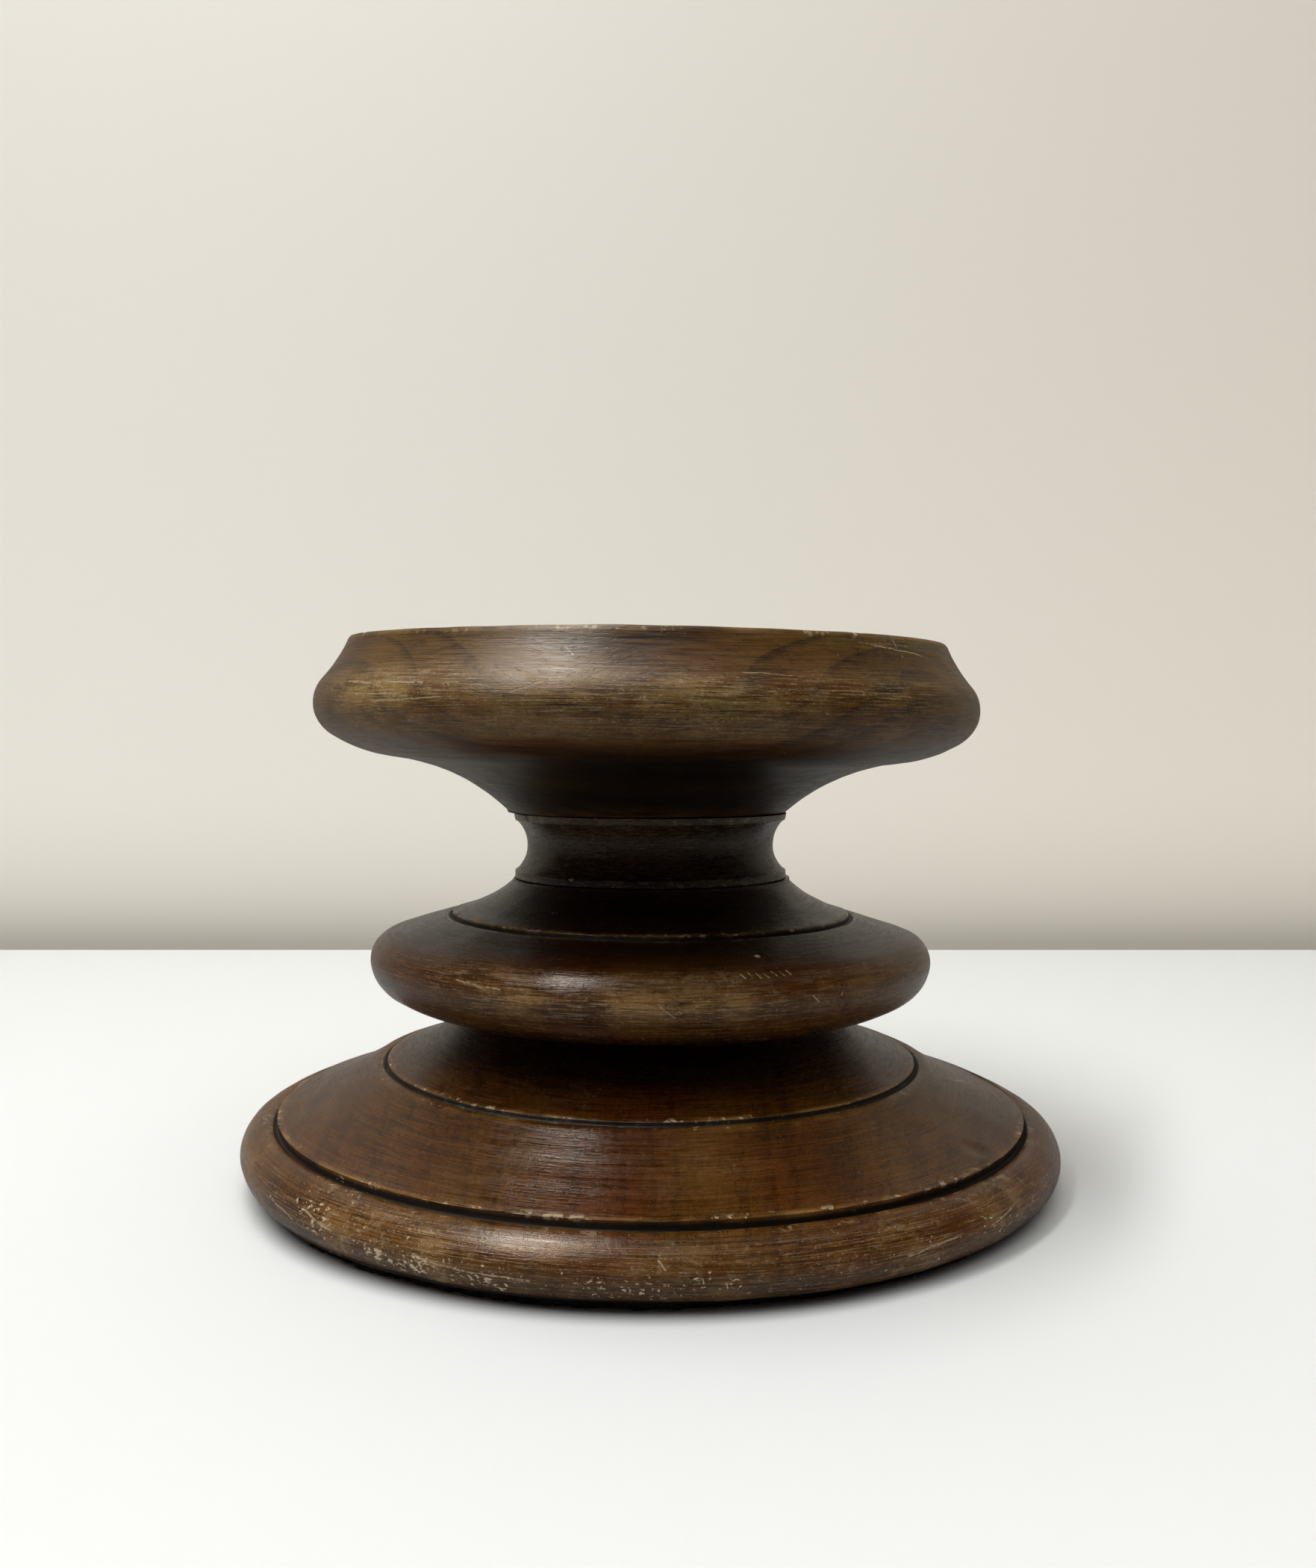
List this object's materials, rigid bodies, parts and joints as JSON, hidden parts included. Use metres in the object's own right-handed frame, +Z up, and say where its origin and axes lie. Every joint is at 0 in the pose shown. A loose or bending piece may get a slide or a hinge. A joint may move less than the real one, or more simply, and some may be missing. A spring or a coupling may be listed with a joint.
{
  "type": "trumpet stand",
  "caption": "Low turned wooden stand: a broad moulded foot, a swelling disc and a slim neck carry a wide cup with a shallow felted dish that an upturned bell stands in.",
  "frame": {"origin": "on the floor, under the middle of the foot's felt", "axes": "+Z up along the tie rod; +X is the side that the sections' turned shapes lean to"},
  "size_m": [0.2202, 0.2202, 0.1459],
  "materials": {
    "stained_wood": "dark walnut stain under a worn satin lacquer",
    "felt": "black wool felt",
    "steel": "zinc plated"
  },
  "bodies": {
    "root": {"foot_felt": "felt", "foot": "stained_wood", "knop": "stained_wood", "neck": "stained_wood", "cup": "stained_wood", "dish_felt": "felt", "tie_rod": "steel", "foot_washer": "steel", "foot_nut": "steel", "cup_washer": "steel", "cup_nut": "steel"}
  },
  "joints": []
}
